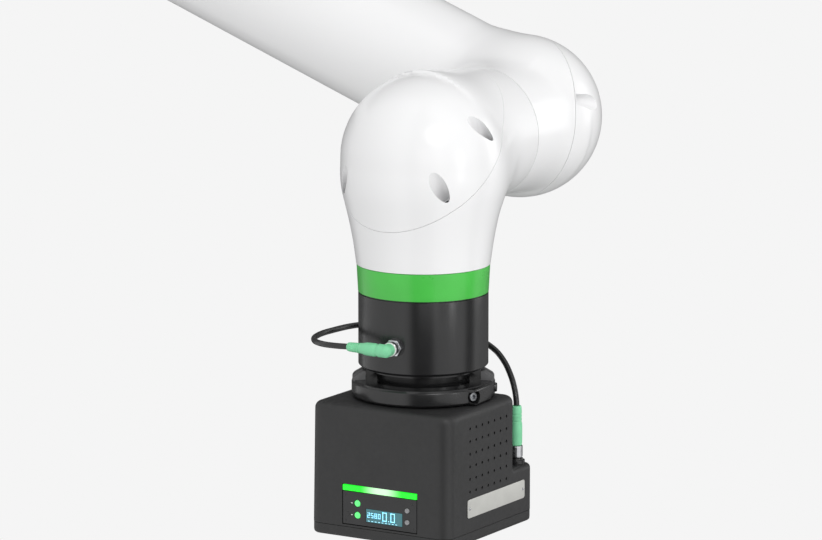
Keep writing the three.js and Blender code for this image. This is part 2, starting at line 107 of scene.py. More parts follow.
# ------------------------------------------------------------------ materials
class Shader:
    """A node material: one Principled surface whose colour, roughness and relief vary."""

    def __init__(self, name, color, roughness, **sockets):
        self.material = bpy.data.materials.new(name)
        self.material.use_nodes = True
        self.tree = self.material.node_tree
        self.surface = self.tree.nodes["Principled BSDF"]
        self.color, self.roughness = color, roughness
        self.surface.inputs["Base Color"].default_value = (*color, 1)
        self.surface.inputs["Roughness"].default_value = roughness
        for socket, value in sockets.items():
            self.surface.inputs[socket.replace("_", " ")].default_value = value
        self.place = self.tree.nodes.new("ShaderNodeTexCoord").outputs["Object"]
        self.relief = None

    def node(self, kind, **values):
        made = self.tree.nodes.new(kind)
        for key, value in values.items():
            if hasattr(made, key):
                setattr(made, key, value)
            else:
                made.inputs[key.replace("_", " ")].default_value = value
        return made

    def link(self, a, b):
        self.tree.links.new(a, b)

    def noise(self, scale, detail=3.0, stretch=None):
        made = self.node("ShaderNodeTexNoise", Scale=scale, Detail=detail)
        source = self.place
        if stretch:
            mapping = self.node("ShaderNodeMapping", Scale=stretch)
            self.link(source, mapping.inputs["Vector"])
            source = mapping.outputs["Vector"]
        self.link(source, made.inputs["Vector"])
        return made.outputs["Fac"]

    def spread(self, fac, low, high):
        made = self.node("ShaderNodeMapRange", From_Min=0.3, From_Max=0.7, To_Min=low, To_Max=high)
        self.link(fac, made.inputs["Value"])
        return made.outputs["Result"]

    def vary_color(self, scale, amount, detail=3.0, stretch=None):
        mix = self.node("ShaderNodeMix", data_type="RGBA")
        self.link(self.spread(self.noise(scale, detail, stretch), 0, 1), mix.inputs["Factor"])
        for socket, gain in (("A", 1 - amount), ("B", 1 + amount)):
            slot = next(i for i in mix.inputs if i.name == socket and i.type == "RGBA")
            slot.default_value = (*(min(c * gain, 1) for c in self.color), 1)
        output = next(o for o in mix.outputs if o.type == "RGBA")
        self.link(output, self.surface.inputs["Base Color"])
        return self

    def vary_roughness(self, scale, amount, stretch=None):
        low, high = self.roughness - amount, self.roughness + amount
        fac = self.spread(self.noise(scale, 4.0, stretch), low, high)
        self.link(fac, self.surface.inputs["Roughness"])
        return self

    def bump(self, fac, distance, strength=1.0):
        made = self.node("ShaderNodeBump", Distance=distance, Strength=strength)
        self.link(fac, made.inputs["Height"])
        if self.relief is not None:
            self.link(self.relief, made.inputs["Normal"])
        self.relief = made.outputs["Normal"]
        self.link(self.relief, self.surface.inputs["Normal"])
        return self


def finish(name, color, roughness, tone, gloss, relief, **sockets):
    """A plain finish. tone and gloss say how fine and how strong the variation is, and
    relief is a noise's (scale, detail, height, strength, stretch)."""
    s = Shader(name, color, roughness, **sockets)
    s.vary_color(*tone).vary_roughness(*gloss)
    scale, detail, height, strength, *stretch = relief
    return s.bump(s.noise(scale, detail, *stretch), height, strength).material


def machined_alloy(name, color):
    return finish(name, color, 0.34, (50, 0.1, 4.0, (1, 1, 12)), (80, 0.08, (1, 1, 14)),
                  (700, 3.0, 0.00002, 0.6, (1, 1, 10)), Metallic=1.0)


def glow(name, color, strength, roughness=0.25):
    s = Shader(name, color, roughness)
    s.surface.inputs["Emission Color"].default_value = (*color, 1)
    s.surface.inputs["Emission Strength"].default_value = strength
    s.vary_color(300, 0.06).vary_roughness(300, 0.05)
    return s.bump(s.noise(1500), 0.00001, 0.3).material


def status_light(centre, half):
    """A green strip that is brightest, almost white, near the middle of its length."""
    s = Shader("status_light", (0.02, 0.7, 0.03), 0.3)
    split = s.node("ShaderNodeSeparateXYZ")
    s.link(s.place, split.inputs["Vector"])
    away = s.node("ShaderNodeMath", operation="SUBTRACT")
    s.link(split.outputs["X"], away.inputs[0])
    away.inputs[1].default_value = centre
    ramp = s.node("ShaderNodeMapRange", interpolation_type="SMOOTHSTEP", From_Min=half,
                  From_Max=0.15 * half, To_Min=0, To_Max=1)
    size = s.node("ShaderNodeMath", operation="ABSOLUTE")
    s.link(away.outputs["Value"], size.inputs[0])
    s.link(size.outputs["Value"], ramp.inputs["Value"])
    mix = s.node("ShaderNodeMix", data_type="RGBA")
    s.link(ramp.outputs["Result"], mix.inputs["Factor"])
    ends = ((0.0, 0.85, 0.01, 1), (0.75, 1.0, 0.75, 1))
    for socket, value in zip([i for i in mix.inputs if i.type == "RGBA"], ends):
        socket.default_value = value
    s.link(next(o for o in mix.outputs if o.type == "RGBA"), s.surface.inputs["Emission Color"])
    s.surface.inputs["Emission Strength"].default_value = 1.0
    s.vary_roughness(200, 0.05)
    return s.material


def screen_glass():
    """A lit liquid-crystal window: blue-green glow with a fine pixel grid."""
    s = Shader("screen_glass", (0.01, 0.05, 0.07), 0.12, Coat_Weight=0.5)
    s.surface.inputs["Emission Color"].default_value = (0.04, 0.16, 0.17, 1)
    s.surface.inputs["Emission Strength"].default_value = 0.8
    s.vary_color(500, 0.3).vary_roughness(700, 0.04)
    return s.bump(s.noise(4000), 0.000005, 0.5).material


WHITE = finish("white_paint", (0.88, 0.88, 0.885), 0.3, (9, 0.005), (26, 0.012),
               (1500, 2.0, 0.00003, 0.35), Coat_Weight=0.35, Coat_Roughness=0.1)
GREEN = finish("green_paint", (0.06, 0.52, 0.06), 0.3, (40, 0.05), (60, 0.04),
               (1800, 2.0, 0.00003, 0.3), Coat_Weight=0.3, Coat_Roughness=0.15)
DARK = finish("dark_metal", (0.0125, 0.0125, 0.013), 0.24, (60, 0.12), (90, 0.02),
              (2600, 3.0, 0.00001, 0.4), Coat_Weight=0.2, Coat_Roughness=0.2)
CHARCOAL = finish("charcoal_plastic", (0.02, 0.02, 0.0205), 0.5, (30, 0.1, 6.0), (300, 0.05),
                  (1900, 4.0, 0.00006, 0.7))
PANEL = finish("panel_plastic", (0.02, 0.02, 0.021), 0.35, (80, 0.15), (120, 0.05),
               (3000, 2.0, 0.00001, 0.5))
BRIGHT = finish("bright_metal", (0.66, 0.67, 0.69), 0.22, (200, 0.08), (400, 0.06),
                (2200, 3.0, 0.00001, 0.5), Metallic=1.0)
LUG = finish("lug_metal", (0.2, 0.2, 0.203), 0.35, (90, 0.12), (120, 0.06),
             (1500, 3.0, 0.00002, 0.6), Metallic=0.6)
GEAR = machined_alloy("gear_steel", (0.42, 0.43, 0.45))
MOTOR = machined_alloy("motor_windings", (0.5, 0.3, 0.17))
PUMP = machined_alloy("pump_alloy", (0.58, 0.59, 0.61))
MINT = finish("plug_plastic", (0.21, 0.66, 0.36), 0.42, (120, 0.06), (200, 0.05),
              (1600, 3.0, 0.00003, 0.5), Coat_Weight=0.1)
JACKET = finish("cable_jacket", (0.012, 0.012, 0.0125), 0.28, (90, 0.2), (150, 0.06),
                (900, 3.0, 0.00003, 0.5), Coat_Weight=0.25)
PALE = finish("pale_ring", (0.78, 0.8, 0.77), 0.45, (300, 0.05), (300, 0.05),
              (1500, 3.0, 0.00001, 0.4))
LABEL = finish("label_film", (0.56, 0.56, 0.53), 0.4, (60, 0.06, 5.0), (500, 0.07, (1, 12, 1)),
               (2500, 2.0, 0.00001, 0.5), Metallic=0.2)
BUTTON = finish("button_plastic", (0.28, 0.28, 0.29), 0.5, (300, 0.08), (500, 0.05),
                (3000, 3.0, 0.00001, 0.5))
RUBBER = finish("cup_rubber", (0.09, 0.2, 0.33), 0.55, (70, 0.1), (200, 0.06),
                (1200, 4.0, 0.00005, 0.6), Coat_Weight=0.08)
BOARD = finish("circuit_board", (0.02, 0.16, 0.06), 0.4, (400, 0.3), (300, 0.08),
               (900, 3.0, 0.00005, 0.8))
SCREEN = screen_glass()
LAMP = glow("lamp_green", (0.12, 0.8, 0.2), 0.55)
DIGITS = glow("digit_light", (0.35, 0.78, 0.95), 0.8)


# ------------------------------------------------------------------ mesh tools
def piece_of(name, mesh, material, smooth=35):
    mesh.name = name
    made = bpy.data.objects.new(name, mesh)
    bpy.context.scene.collection.objects.link(made)
    mesh.materials.clear()
    mesh.materials.append(material)
    mesh.shade_smooth()
    if smooth:
        mesh.set_sharp_from_angle(angle=math.radians(smooth))
    return made


def mesh_from(verts, faces):
    mesh = bpy.data.meshes.new("built")
    mesh.from_pydata([tuple(v) for v in verts], [], [tuple(f) for f in faces])
    mesh.validate()
    return mesh


def frame_of(axis):
    """Two directions square to an axis, so that side, up and the axis are right-handed."""
    axis = axis.normalized()
    side = axis.cross(Z if abs(axis.z) < 0.9 else X).normalized()
    return side, axis.cross(side)


def soften(profile, size, steps=4):
    """A profile whose inner corners are rounded, by a curve that starts size before them."""
    out = [profile[0]]
    for before, corner, after in zip(profile, profile[1:], profile[2:]):
        a, b, c = (Vector(p) for p in (before, corner, after))
        reach = min(size, (a - b).length * 0.45, (c - b).length * 0.45)
        if (b - a).angle(c - b, 0) < math.radians(12) or reach < 1e-6:
            out.append(tuple(b))
            continue
        start, end = b + (a - b).normalized() * reach, b + (c - b).normalized() * reach
        for i in range(steps + 1):
            t = i / steps
            p = start * (1 - t) ** 2 + b * 2 * t * (1 - t) + end * t**2
            out.append(tuple(p))
    out.append(profile[-1])
    return out


def turned_mesh(profile, axis, at, sides=128, soft=0.0004):
    """A solid of revolution from (radius, distance along the axis) points, in metres, that
    start and end on the axis or close on themselves."""
    closed = profile[0] == profile[-1]
    if closed:
        shifted = profile[:-1]
        middle = tuple((Vector(shifted[0]) + Vector(shifted[-1])) / 2)
        points = soften([middle, *shifted, middle], soft)[:-1]
    else:
        points = soften(profile, soft)
    side, up = frame_of(axis)
    verts, rows = [], []
    for r, h in points:
        if r < 1e-9:
            rows.append([len(verts)])
            verts.append(at + axis * h)
            continue
        rows.append(range(len(verts), len(verts) + sides))
        for k in range(sides):
            turn = 2 * math.pi * k / sides
            out = side * math.cos(turn) + up * math.sin(turn)
            verts.append(at + axis * h + out * r)
    faces = []
    pairs = list(zip(rows, rows[1:])) + ([(rows[-1], rows[0])] if closed else [])
    for low, high in pairs:
        for k in range(sides):
            n = (k + 1) % sides
            if len(low) == 1 and len(high) == 1:
                continue
            if len(low) == 1:
                faces.append((low[0], high[n], high[k]))
            elif len(high) == 1:
                faces.append((low[k], low[n], high[0]))
            else:
                faces.append((low[k], low[n], high[n], high[k]))
    mesh = mesh_from(verts, faces)
    outward(mesh)
    return mesh


def rod(radius, length, axis, at, sides, soft=0):
    """A plain round or many-sided bar, in metres, from a place along an axis."""
    return turned_mesh([(0, 0), (radius, 0), (radius, length), (0, length)], axis, at, sides, soft)


def outward(mesh):
    work = bmesh.new()
    work.from_mesh(mesh)
    bmesh.ops.recalc_face_normals(work, faces=work.faces)
    if work.calc_volume(signed=True) < 0:
        bmesh.ops.reverse_faces(work, faces=work.faces)
    work.to_mesh(mesh)
    work.free()


def block_mesh(low, high, bevel=0.0003, turn=None, about=None, segments=3, corner=0):
    """A box with rounded edges; corner rounds its outline as seen along X, if given."""
    work = bmesh.new()
    bmesh.ops.create_cube(work, size=1)
    low, high = Vector(low), Vector(high)
    for v in work.verts:
        v.co = Vector(l + (h - l) * (c + 0.5) for l, h, c in zip(low, high, v.co))
    if corner:
        along = [e for e in work.edges
                 if abs(e.verts[0].co.x - e.verts[1].co.x) > 0.5 * abs(high.x - low.x)]
        bmesh.ops.bevel(work, geom=along, offset=corner, segments=8, affect="EDGES", profile=0.5)
    sharp = [e for e in work.edges if not corner or e.calc_face_angle(0) > 0.5]
    bmesh.ops.bevel(work, geom=sharp, offset=bevel, segments=segments, affect="EDGES",
                    profile=0.5)
    if turn is not None:
        bmesh.ops.rotate(work, verts=work.verts, cent=about, matrix=turn)
    mesh = bpy.data.meshes.new("block")
    work.to_mesh(mesh)
    work.free()
    return mesh


def join_meshes(meshes):
    work = bmesh.new()
    for mesh in meshes:
        work.from_mesh(mesh)
        bpy.data.meshes.remove(mesh)
    joined = bpy.data.meshes.new("joined")
    work.to_mesh(joined)
    work.free()
    return joined


def carve(mesh, cutter, operation="DIFFERENCE"):
    """The mesh less the cutter, or joined to it."""
    body = bpy.data.objects.new("carved", mesh)
    tool = bpy.data.objects.new("cutter", cutter)
    for o in (body, tool):
        bpy.context.scene.collection.objects.link(o)
    step = body.modifiers.new("cut", "BOOLEAN")
    step.object, step.operation, step.solver = tool, operation, "EXACT"
    bpy.context.view_layer.update()
    shown = body.evaluated_get(bpy.context.evaluated_depsgraph_get())
    result = bpy.data.meshes.new_from_object(shown)
    for o in (body, tool):
        bpy.data.objects.remove(o)
    for old in (mesh, cutter):
        bpy.data.meshes.remove(old)
    return result


def slice_mesh(mesh, at, normal):
    """What lies behind a plane, closed with a flat face where it was cut."""
    work = bmesh.new()
    work.from_mesh(mesh)
    parts = work.verts[:] + work.edges[:] + work.faces[:]
    bmesh.ops.bisect_plane(work, geom=parts, plane_co=at, plane_no=normal, clear_outer=True,
                           dist=1e-7)
    rim = [e for e in work.edges if e.is_boundary]
    bmesh.ops.holes_fill(work, edges=rim, sides=0)
    bmesh.ops.recalc_face_normals(work, faces=work.faces)
    cut = bpy.data.meshes.new("cut")
    work.to_mesh(cut)
    work.free()
    return cut


# ------------------------------------------------------------------ skins of blended solids
def lowest(a, b, blend):
    """The union of two distance fields, with a fillet about blend wide where they meet."""
    h = np.maximum(blend - np.abs(a - b), 0) / np.maximum(blend, 1e-9)
    return np.minimum(a, b) - h * h * blend / 4


def skin_mesh(distance, low, high, step):
    """A closed mesh of the surface where a distance field is 0, in quads a step wide."""
    low = np.array(low, float)
    counts = np.ceil((np.array(high, float) - low) / step).astype(int) + 1
    lines = [low[i] + step * np.arange(counts[i]) for i in range(3)]
    grid = np.stack(np.meshgrid(*lines, indexing="ij"), -1)
    value = distance(grid)
    inside = value < 0
    total = np.zeros((*(counts - 1), 3))
    hits = np.zeros(counts - 1)
    crossings = []
    for a in range(3):
        here = [slice(None)] * 3
        there = [slice(None)] * 3
        here[a], there[a] = slice(None, -1), slice(1, None)
        v0, v1 = value[tuple(here)], value[tuple(there)]
        cross = inside[tuple(here)] != inside[tuple(there)]
        share = np.where(cross, v0 / np.where(v0 == v1, 1, v0 - v1), 0)
        points = grid[tuple(here)].copy()
        points[..., a] += share * step
        crossings.append(cross)
        others = [k for k in range(3) if k != a]
        for i in (0, 1):
            for j in (0, 1):
                pick = [slice(None)] * 3
                pick[others[0]] = slice(i, i + counts[others[0]] - 1)
                pick[others[1]] = slice(j, j + counts[others[1]] - 1)
                pick = tuple(pick)
                total += points[pick] * cross[pick][..., None]
                hits += cross[pick]
    active = hits > 0
    number = np.full(active.shape, -1)
    number[active] = np.arange(active.sum())
    verts = total[active] / hits[active][:, None]
    faces = []
    for a in range(3):
        cross = crossings[a]
        b, c = (a + 1) % 3, (a + 2) % 3
        where = np.argwhere(cross)
        keep = (where[:, b] > 0) & (where[:, c] > 0)
        keep &= (where[:, b] < counts[b] - 1) & (where[:, c] < counts[c] - 1)
        where = where[keep]
        ring = []
        for ob, oc in ((1, 1), (0, 1), (0, 0), (1, 0)):
            cell = where.copy()
            cell[:, b] -= ob
            cell[:, c] -= oc
            ring.append(number[cell[:, 0], cell[:, 1], cell[:, 2]])
        quads = np.stack(ring, 1)
        back = ~inside[where[:, 0], where[:, 1], where[:, 2]]
        quads[back] = quads[back][:, ::-1]
        faces.append(quads)
    faces = np.concatenate(faces)
    reach = step * 0.02
    for _ in range(4):
        slope = np.stack([
            (distance(verts + reach * e) - distance(verts - reach * e)) / (2 * reach)
            for e in np.eye(3)
        ], -1)
        size = np.maximum((slope**2).sum(-1, keepdims=True), 0.25)
        move = distance(verts)[:, None] * slope / size
        verts = verts - np.clip(move, -step, step)
    mesh = mesh_from(verts, faces.tolist())
    outward(mesh)
    return mesh


def along_and_out(points, at, axis):
    """How far points lie along an axis from a place, and how far off it."""
    d = points - np.array(at)
    axis = np.array(axis)
    along = d @ axis
    off = np.sqrt(np.maximum((d * d).sum(-1) - along**2, 0))
    return along, off


def arm_distance(points, at, axis, profile):
    along, off = along_and_out(points, at, axis)
    stations, radii = zip(*profile)
    end = stations[-1] + 12 * MM
    return np.maximum(off - np.interp(along, stations, radii), np.maximum(-along, along - end))


# ------------------------------------------------------------------ joint housings
# (distance along the arm, radius) pairs are in millimetres, as the CAD model has them
SKIN_STEP = 2.4 * MM
CROTCH_FILLET = 16 * MM
BALL_FILLET = 5 * MM
SEAM = 0.22 * MM  # half the gap between a housing and its cap
POCKETS = ((-129, 1.025), (-49, 1.02), (7, 0.876), (173, 0.876))
KNUCKLE_POCKETS = ((46.6, 0.835), (155, 0.835), (-130, 0.835), (-40, 0.835))
POCKET_RADIUS = 5.2 * MM


def smooth_profile(profile):
    """A profile in millimetres as (station, radius) in metres, curved between its points."""
    stations = np.array([p[0] for p in profile], float)
    radii = np.array([p[1] for p in profile], float)
    if len(profile) < 3:
        return [(s * MM, r * MM) for s, r in zip(stations, radii)]
    slopes = np.gradient(radii, stations)
    slopes[0] = 0
    out = []
    for i in range(len(stations) - 1):
        run = stations[i + 1] - stations[i]
        for t in np.linspace(0, 1, 8, endpoint=False):
            h = (2 * t**3 - 3 * t**2 + 1, t**3 - 2 * t**2 + t, 3 * t**2 - 2 * t**3, t**3 - t**2)
            r = h[0] * radii[i] + h[1] * run * slopes[i] + h[2] * radii[i + 1]
            out.append((stations[i] + t * run, r + h[3] * run * slopes[i + 1]))
    out.append((stations[-1], radii[-1]))
    return [(s * MM, r * MM) for s, r in out]


def housing(at, ball, neck_axis, neck, stub_axis, stub, cap_normal, cap_distance, body,
            housing_node, cap_node, shift=0, pockets=POCKETS):
    """A ball with two arms, its neck and its stub, cut into the housing and its corner cap.
    Sizes are in millimetres; shift moves the ball's middle along the neck."""
    neck_axis, stub_axis = neck_axis.normalized(), stub_axis.normalized()
    cap_normal = cap_normal.normalized()
    neck, stub = smooth_profile(neck), smooth_profile(stub)
    ball = ball * MM
    cap_at = at + cap_normal * cap_distance * MM
    heart = at + neck_axis * shift * MM
    bisector = np.array((neck_axis + stub_axis).normalized())

    def distance(points):
        d = points - np.array(at)
        sphere = np.sqrt(((points - np.array(heart)) ** 2).sum(-1)) - ball
        a = arm_distance(points, at, neck_axis, neck)
        b = arm_distance(points, at, stub_axis, stub)
        inner = np.clip((d @ bisector) / (0.7 * ball), 0, 1)
        arms = lowest(a, b, CROTCH_FILLET * inner)
        return lowest(sphere, arms, BALL_FILLET * np.clip(inner + 0.1, 0, 1))

    reach = [heart + v for v in (X * ball, Y * ball, Z * ball, -X * ball, -Y * ball, -Z * ball)]
    for axis, profile in ((neck_axis, neck), (stub_axis, stub)):
        side, up = frame_of(axis)
        tip = at + axis * (profile[-1][0] + 14 * MM)
        wide = max(r for _, r in profile)
        reach += [tip + v * wide for v in (side, up, -side, -up)]
    pad = Vector((3 * SKIN_STEP,) * 3)
    low = Vector(map(min, *reach)) - pad
    high = Vector(map(max, *reach)) + pad
    step = SKIN_STEP * max(1, ball / (60 * MM))
    mesh = skin_mesh(distance, low, high, step)
    for axis, profile in ((neck_axis, neck), (stub_axis, stub)):
        mesh = slice_mesh(mesh, at + axis * profile[-1][0], axis)
    shell = slice_mesh(mesh, cap_at - cap_normal * SEAM, cap_normal)
    cap = slice_mesh(mesh, cap_at + cap_normal * SEAM, -cap_normal)
    side = neck_axis.cross(stub_axis).normalized()
    up = cap_normal.cross(side).normalized()
    screws = []
    for angle, out in pockets:
        turn = math.radians(angle)
        centre = cap_at + (side * math.cos(turn) + up * math.sin(turn)) * out * ball
        scale = max(1, ball / (60 * MM))
        floor = centre + cap_normal * 0.8 * MM
        cap = carve(cap, rod(POCKET_RADIUS * scale, 2 * ball, cap_normal, floor, 48))
        screws.append(socket_screw(floor + cap_normal * 0.1 * MM, cap_normal, 2.6 * MM * scale,
                                   1.2 * MM * scale))
    add_piece(housing_node + "_skin", shell, WHITE, body, housing_node, smooth=32)
    add_piece(cap_node + "_skin", cap, WHITE, body, cap_node, smooth=32)
    add_piece(cap_node + "_screws", join_meshes(screws), DARK, body, smooth=30)


def socket_screw(at, axis, radius, height):
    """A cap screw's head with a six-sided socket, standing on a floor."""
    head = rod(radius, height, axis, at, 48, radius * 0.12)
    hexagon = rod(radius * 0.5, height, axis, at + axis * height * 0.5, 6)
    return carve(head, hexagon)


def add_piece(name, mesh, material, body, *nodes, smooth=35, slot=None):
    """A piece on a body, in place of the nodes. The slot argument is not used."""
    made = piece_of(name, mesh, material, smooth)
    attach(made, body)
    if nodes:
        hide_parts(*nodes)
    return made


def spot(x, y, z):
    """A place in millimetres from the wrist's centre."""
    return WRIST + Vector((x, y, z)) * MM


def mm(*profile):
    return [(r * MM, h * MM) for r, h in profile]


# ------------------------------------------------------------------ the lead
# The route repeats the CAD model's points, in metres from the wrist's centre.
CABLE_DIAMETER = 4 * MM
SOCKET_TURN = math.radians(6.4)
SOCKET_OUT = Vector((math.sin(SOCKET_TURN), -math.cos(SOCKET_TURN), 0))
COLLAR_RADIUS = 44.2 * MM
SOCKET_DROP = 129.6 * MM


def socket_point(out):
    return WRIST + SOCKET_OUT * (COLLAR_RADIUS + out) - Z * SOCKET_DROP


PLUG_TOP = WRIST + Vector((0.0455, 0.0476, -0.1817))
CABLE_START = socket_point(15 * MM) - X * 30.3 * MM
CABLE_ROUTE = [CABLE_START] + [WRIST + Vector(p) for p in (
    (-0.034, -0.0598, -0.1298), (-0.047, -0.0558, -0.1304), (-0.0585, -0.046, -0.1309),
    (-0.0658, -0.030, -0.1311), (-0.0664, -0.008, -0.1311), (-0.0625, 0.015, -0.1313),
    (-0.0525, 0.036, -0.1322), (-0.036, 0.0515, -0.134), (-0.014, 0.060, -0.1374),
    (0.005, 0.0616, -0.1414), (0.019, 0.0604, -0.1466), (0.0285, 0.0576, -0.1528),
    (0.0365, 0.054, -0.1614), (0.0422, 0.0504, -0.1705), (0.045, 0.048, -0.1774),
)] + [PLUG_TOP + Z * 0.3 * MM]


def make_cable():
    data = bpy.data.curves.new("jumper_cable_lead", "CURVE")
    data.dimensions = "3D"
    data.bevel_depth = CABLE_DIAMETER / 2
    data.bevel_resolution = 8
    data.resolution_u = 10
    data.use_fill_caps = True
    spline = data.splines.new("BEZIER")
    spline.bezier_points.add(len(CABLE_ROUTE) - 1)
    for point, place in zip(spline.bezier_points, CABLE_ROUTE):
        point.co = place
        point.handle_left_type = point.handle_right_type = "AUTO"
    data.materials.append(JACKET)
    made = bpy.data.objects.new("jumper_cable_lead", data)
    bpy.context.scene.collection.objects.link(made)
    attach(made, "tool")
    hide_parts("jumper_cable")
    return made


def make_plugs():
    """The right-angled plug on the collar and the straight one on the gripper."""
    bend = socket_point(15 * MM)
    stem = turned_mesh(mm((0, 0), (4.3, 0), (4.3, 5.2), (3.9, 9), (0, 9)), SOCKET_OUT,
                       socket_point(8.9 * MM), 64, 0.5 * MM)
    core = turned_mesh([(0, -4.5 * MM)] + [ (4.5 * MM * math.cos(t), 4.5 * MM * math.sin(t))
                                           for t in np.linspace(-1.45, 1.45, 15)]
                       + [(0, 4.5 * MM)], Z, bend, 64, 0)
    ribs = [(0, -1), (4.4, 0), (4.5, 5), (4.0, 6), (4.0, 7), (4.5, 8), (4.4, 15), (3.7, 18)]
    for i in range(5):
        start = 19 + 2 * i
        ribs += [(3.5 - 0.08 * i, start), (3.5 - 0.08 * i, start + 1.1), (3.0, start + 1.2),
                 (3.0, start + 1.9)]
    ribs += [(2.9, 29.4), (2.3, 30), (0, 30)]
    sleeve = turned_mesh(mm(*ribs), -X, bend, 64, 0.25 * MM)
    plug = join_meshes([stem, core, sleeve])
    elbow = add_piece("elbow_plug_body", plug, MINT, "tool", "elbow_plug")
    seal = turned_mesh(mm((3.6, 0), (4.75, 0), (4.75, 1.1), (3.6, 1.1), (3.6, 0)), SOCKET_OUT,
                       socket_point(8.7 * MM), 64, 0.3 * MM)
    add_piece("elbow_plug_seal", seal, PALE, "tool", slot="plug_plastic")
    hexagon = rod(6.1 * MM, 3.6 * MM, SOCKET_OUT, socket_point(0.4 * MM), 6, 0.4 * MM)
    collar = turned_mesh(mm((0, 3.6), (4.9, 3.6), (4.9, 8.2), (4.2, 8.7), (0, 8.7)), SOCKET_OUT,
                         socket_point(0.4 * MM), 24, 0.2 * MM)
    nut = add_piece("elbow_plug_coupling", join_meshes([hexagon, collar]), BRIGHT, "tool",
                    "elbow_plug_nut", smooth=20)
    washer = turned_mesh(mm((0, -6), (6.4, -6), (6.4, 0.3), (0, 0.3)), SOCKET_OUT, socket_point(0),
                         64, 0.2 * MM)
    add_piece("collar_socket_ring", washer, DARK, "tool", "collar_socket")

    body = [(0, 0), (3.2, 0), (3.5, 0.8), (3.65, 3)]
    for i in range(3):
        start = 4 + 2.4 * i
        body += [(3.7, start), (3.75, start + 1.3), (3.5, start + 1.4), (3.5, start + 2.3)]
    body += [(3.85, 11.5), (4.05, 14), (4.05, 25.6), (3.8, 27.4), (0, 27.4)]
    straight = turned_mesh(mm(*body), -Z, PLUG_TOP, 64, 0.25 * MM)
    end = add_piece("straight_plug_body", straight, MINT, "tool", "straight_plug")
    knurl = [(0, 27.7), (4.3, 27.7), (4.45, 28.4), (4.45, 34.8), (4, 36.1), (0, 36.1)]
    ring = turned_mesh(mm(*knurl), -Z, PLUG_TOP, 20, 0.2 * MM)
    coupling = add_piece("straight_plug_coupling", ring, BRIGHT, "tool", "straight_plug_nut",
                         smooth=12)
    socket = turned_mesh(mm((0, 36.4), (4.6, 36.4), (4.8, 37.4), (5.9, 37.6), (5.9, 41), (0, 41)),
                         -Z, PLUG_TOP, 64, 0.2 * MM)
    add_piece("gripper_socket_ring", socket, DARK, "tool", "gripper_socket")
    return [elbow, nut, end, coupling]


cable = make_cable()
make_plugs()


# ------------------------------------------------------------------ base and arm
BASE_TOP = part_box("base_casting")[1].z


FOOT_HOLES = 70 * MM  # from the middle, both ways
BAY_FACE = -0.1058  # the outside of the connector panel


def rounded_plan(x, y, half_x, half_y, corner):
    """Distance to a rectangle about the origin with round corners."""
    qx, qy = np.abs(x) - (half_x - corner), np.abs(y) - (half_y - corner)
    out = np.hypot(np.maximum(qx, 0), np.maximum(qy, 0))
    return out + np.minimum(np.maximum(qx, qy), 0) - corner


def rounded_stack(plan, z, low, high, edge):
    """A flat outline's distance carried from one height to another, with soft edges."""
    middle, half = (low + high) / 2, (high - low) / 2
    a, b = plan + edge, np.abs(z - middle) - half + edge
    return np.minimum(np.maximum(a, b), 0) + np.hypot(np.maximum(a, 0), np.maximum(b, 0)) - edge


def inner_end(node):
    """The middle of the end of a connector that stands on the panel."""
    low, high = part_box(node)
    return Vector((high.x, (low.y + high.y) / 2, (low.z + high.z) / 2))


